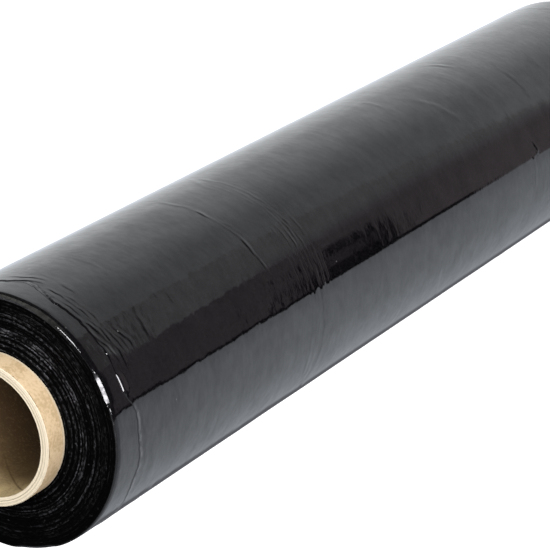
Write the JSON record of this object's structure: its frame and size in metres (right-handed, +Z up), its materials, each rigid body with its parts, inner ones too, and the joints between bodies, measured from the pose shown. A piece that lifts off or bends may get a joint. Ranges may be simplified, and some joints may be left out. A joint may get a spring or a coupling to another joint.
{
  "type": "stretch wrap roll",
  "caption": "Roll of glossy black stretch film wound on a cardboard core that stands out at both ends, for wrapping pallets by hand.",
  "frame": {"origin": "centre of the core's bore at its lower end, on the surface that the roll stands on", "axes": "+Z up the bore; the film's free end lies near the direction of +Y"},
  "size_m": [0.104, 0.104, 0.524],
  "materials": {
    "cardboard": "bare wound board, kraft outside and inside, paler cut ends",
    "film": "glossy near-black film, with creases round its ends and cut edges that look duller"
  },
  "bodies": {
    "root": {"core": "cardboard", "film_roll": "film"}
  },
  "joints": []
}
